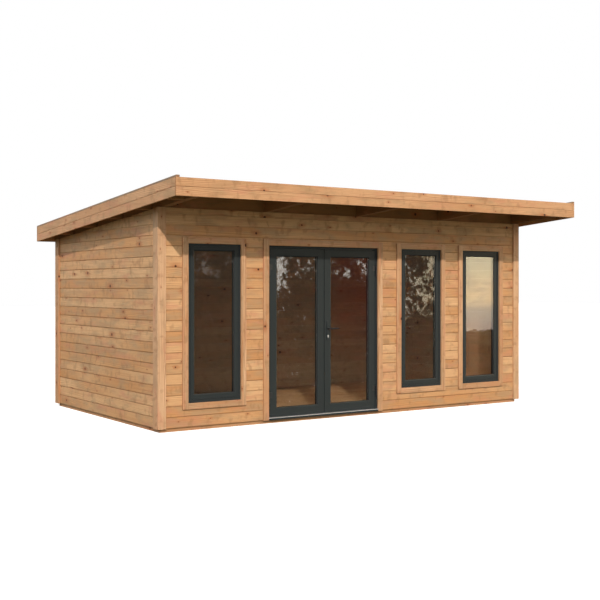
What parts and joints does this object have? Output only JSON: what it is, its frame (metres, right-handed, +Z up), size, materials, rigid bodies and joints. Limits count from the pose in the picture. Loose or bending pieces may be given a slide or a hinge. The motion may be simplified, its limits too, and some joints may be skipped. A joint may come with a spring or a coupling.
{
  "type": "garden office pod",
  "caption": "Timber garden room with a mono-pitch roof, outward-opening glazed double doors and tall fixed windows in its front wall.",
  "frame": {"origin": "on the ground, at the centre of the base, in the underside of the middle bearer", "axes": "+X to the right along the front, +Y to the back, +Z up; the doors and windows face -Y"},
  "size_m": [5.436, 3.785, 2.511],
  "materials": {
    "cladding": "planed softwood boards, treated, with knots",
    "trim_boards": "planed softwood boards, treated",
    "verge_timber": "weathered timber strip",
    "frame_timber": "sawn treated softwood",
    "floor_boards": "planed floor boards",
    "roof_boards": "planed boards",
    "wall_lining": "planed lining boards",
    "dark_frame": "satin dark grey frame profile",
    "glazing": "clear sealed double glazing",
    "threshold_metal": "mill finished threshold",
    "dark_hardware": "satin black powder coat",
    "lock_metal": "nickel plated lock cylinder",
    "roof_membrane": "dark roofing membrane"
  },
  "bodies": {
    "building": {"base_bearers": "frame_timber", "end_bearers": "frame_timber", "floor_deck": "floor_boards", "front_wall_left": "wall_lining", "front_wall_right": "wall_lining", "front_wall_over_door": "wall_lining", "left_wall": "wall_lining", "right_wall": "wall_lining", "back_wall": "wall_lining", "front_cladding": "cladding", "back_cladding": "cladding", "left_cladding": "cladding", "right_cladding": "cladding", "end_corner_boards": "trim_boards", "front_corner_boards": "trim_boards", "window_frame_left": "dark_frame", "window_frame_centre": "dark_frame", "window_frame_right": "dark_frame", "window_glass": "glazing", "window_trims": "trim_boards", "door_frame": "dark_frame", "door_threshold": "threshold_metal", "door_sill": "dark_frame", "door_trim": "trim_boards", "frame_hinges": "dark_hardware", "rafters": "frame_timber", "lookouts": "frame_timber", "eaves_blocks": "frame_timber", "roof_deck": "roof_boards", "roof_covering": "roof_membrane", "front_fascia": "trim_boards", "back_fascia": "trim_boards", "left_fascia": "trim_boards", "right_fascia": "trim_boards", "verge_strips": "verge_timber"},
    "left_leaf": {"left_door": "dark_frame", "left_door_glass": "glazing", "left_door_hinges": "dark_hardware"},
    "right_leaf": {"right_door": "dark_frame", "right_door_glass": "glazing", "right_door_hinges": "dark_hardware", "handle_plates": "dark_hardware", "lock_cylinder": "lock_metal"},
    "lever": {"door_levers": "dark_hardware"}
  },
  "joints": [
    {"name": "left_door_hinge", "type": "hinge", "parent": "building", "child": "left_leaf", "pos_m": [-1.213, -1.42, 0.96], "axis": [0, 0, -1], "range_deg": [0, 90]},
    {"name": "right_door_hinge", "type": "hinge", "parent": "building", "child": "right_leaf", "pos_m": [0.244, -1.42, 0.96], "axis": [0, 0, 1], "range_deg": [0, 90]},
    {"name": "lever_turn", "type": "hinge", "parent": "right_leaf", "child": "lever", "pos_m": [-0.4375, -1.43, 1.003], "axis": [0, 1, 0], "range_deg": [0, 35], "stiffness_Nm_per_rad": 1.5, "springref_deg": -20.05}
  ]
}
